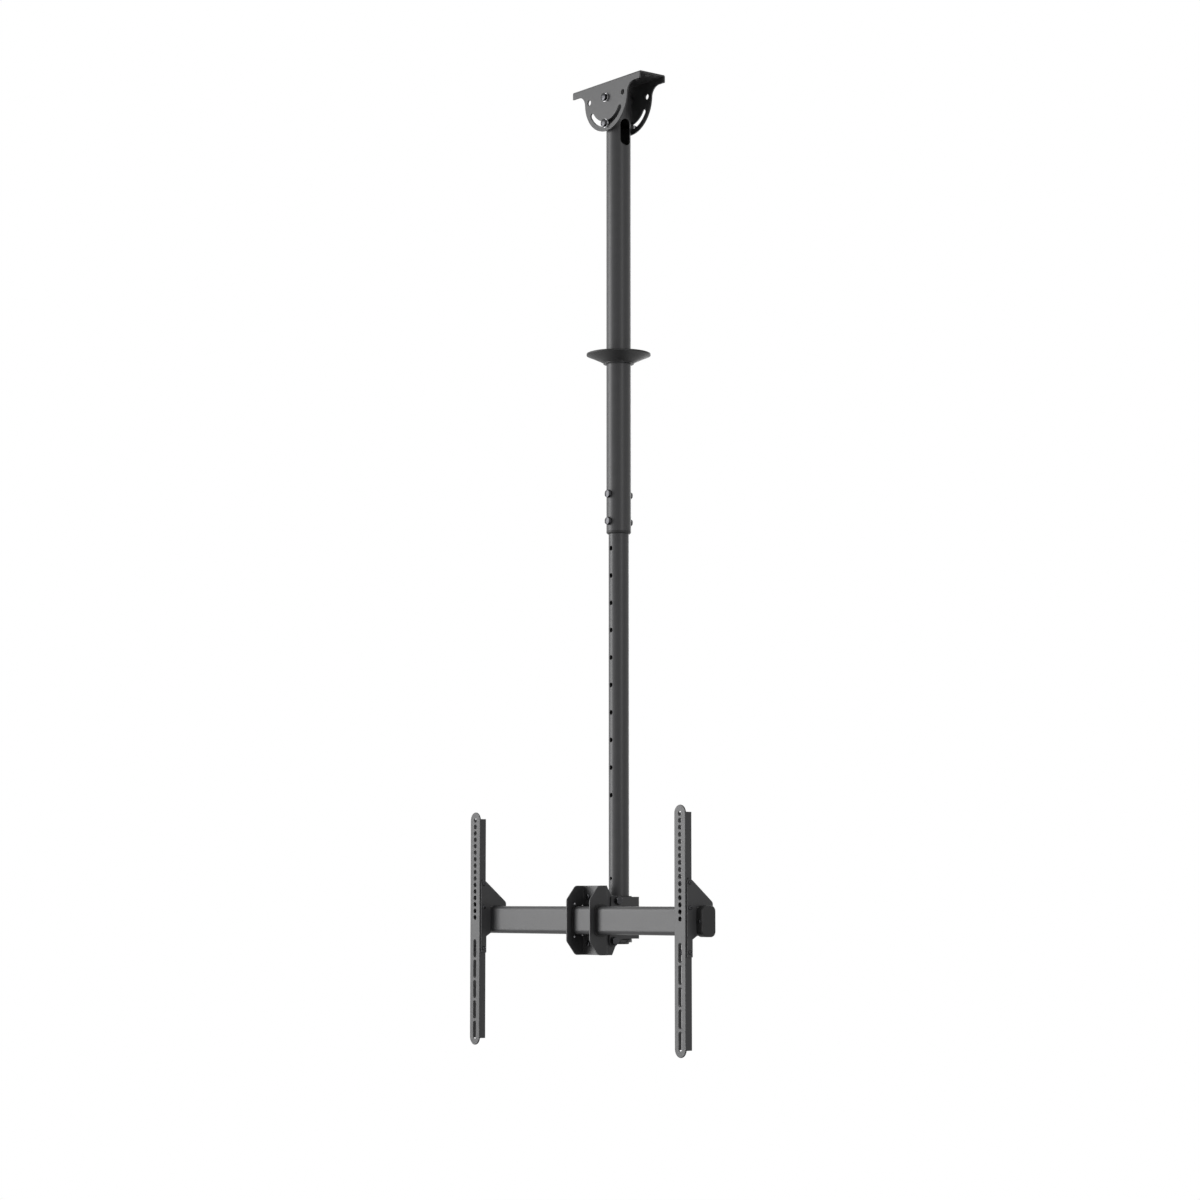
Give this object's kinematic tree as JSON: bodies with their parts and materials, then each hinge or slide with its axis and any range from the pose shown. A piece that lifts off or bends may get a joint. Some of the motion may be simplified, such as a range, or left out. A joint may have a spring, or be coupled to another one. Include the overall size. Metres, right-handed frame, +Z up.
{
  "type": "tv ceiling mount",
  "caption": "Telescopic ceiling mount for a television, with a pitching ceiling bracket, a swivel and tilt head, a cross beam and hook-on rails.",
  "frame": {"origin": "middle of the ceiling bracket's top face, where it meets the ceiling, on the pole's axis", "axes": "+Z up into the ceiling, X along the cross beam, -Y towards the screen"},
  "size_m": [0.67, 0.164, 1.775],
  "materials": {
    "powder_coated_steel": "fine satin black powder coat",
    "black_plastic": "moulded, fine grain",
    "grip_rubber": "matt",
    "zinc_fasteners": "bright zinc plate"
  },
  "bodies": {
    "ceiling": {"ceiling_bracket": "powder_coated_steel", "pivot_bolt": "zinc_fasteners", "pivot_nut": "zinc_fasteners", "pivot_washers": "zinc_fasteners"},
    "pole": {"outer_tube": "powder_coated_steel", "tube_liner": "black_plastic", "ear_spacers": "black_plastic", "lock_bolt": "zinc_fasteners", "lock_nut": "zinc_fasteners", "lock_washers": "zinc_fasteners", "lock_screws_front": "zinc_fasteners", "lock_screws_rear": "zinc_fasteners"},
    "cover": {"ceiling_cover": "black_plastic", "cover_grip": "grip_rubber"},
    "inner_pole": {"inner_tube": "powder_coated_steel", "glide_ring": "black_plastic", "stop_collar": "powder_coated_steel", "collar_screws": "zinc_fasteners", "end_bush": "black_plastic"},
    "swivel_head": {"pole_yoke": "powder_coated_steel", "upper_bush": "black_plastic", "lower_bush": "black_plastic", "swivel_screws": "zinc_fasteners", "tilt_pivot_bolt": "zinc_fasteners", "tilt_pivot_nut": "zinc_fasteners", "tilt_spacer": "powder_coated_steel", "tilt_lock_bolts": "zinc_fasteners", "tilt_lock_nuts": "zinc_fasteners", "tilt_washers": "zinc_fasteners"},
    "beam_head": {"tilt_bracket": "powder_coated_steel", "beam_bracket": "powder_coated_steel", "web_bolts": "zinc_fasteners", "web_nuts": "zinc_fasteners", "window_liners": "black_plastic", "beam": "powder_coated_steel", "end_cap_left": "black_plastic", "end_cap_right": "black_plastic", "cap_screws": "zinc_fasteners"},
    "left_rail": {"rail_left": "powder_coated_steel", "hook_bracket_left": "powder_coated_steel", "hook_bolts_left": "zinc_fasteners", "hook_nuts_left": "zinc_fasteners"},
    "right_rail": {"rail_right": "powder_coated_steel", "hook_bracket_right": "powder_coated_steel", "hook_bolts_right": "zinc_fasteners", "hook_nuts_right": "zinc_fasteners"}
  },
  "joints": [
    {"name": "ceiling_pitch", "type": "hinge", "parent": "ceiling", "child": "pole", "pos_m": [0, 0, -0.03], "axis": [0, 1, 0], "range_deg": [-55, 55]},
    {"name": "cover_slide", "type": "slide", "parent": "pole", "child": "cover", "axis": [0, 0, 1], "range_m": [-0.22, 0.38]},
    {"name": "height_slide", "type": "slide", "parent": "pole", "child": "inner_pole", "axis": [0, 0, 1], "range_m": [0, 0.5]},
    {"name": "swivel", "type": "hinge", "parent": "inner_pole", "child": "swivel_head", "pos_m": [0, 0, -1.544], "axis": [0, 0, 1], "range_deg": [-30, 30]},
    {"name": "tilt", "type": "hinge", "parent": "swivel_head", "child": "beam_head", "pos_m": [0, -0.037, -1.581], "axis": [1, 0, 0], "range_deg": [-5, 15]},
    {"name": "rail_left_slide", "type": "slide", "parent": "beam_head", "child": "left_rail", "axis": [1, 0, 0], "range_m": [0, 0.2]},
    {"name": "rail_right_slide", "type": "slide", "parent": "beam_head", "child": "right_rail", "axis": [-1, 0, 0], "range_m": [0, 0.2]}
  ]
}
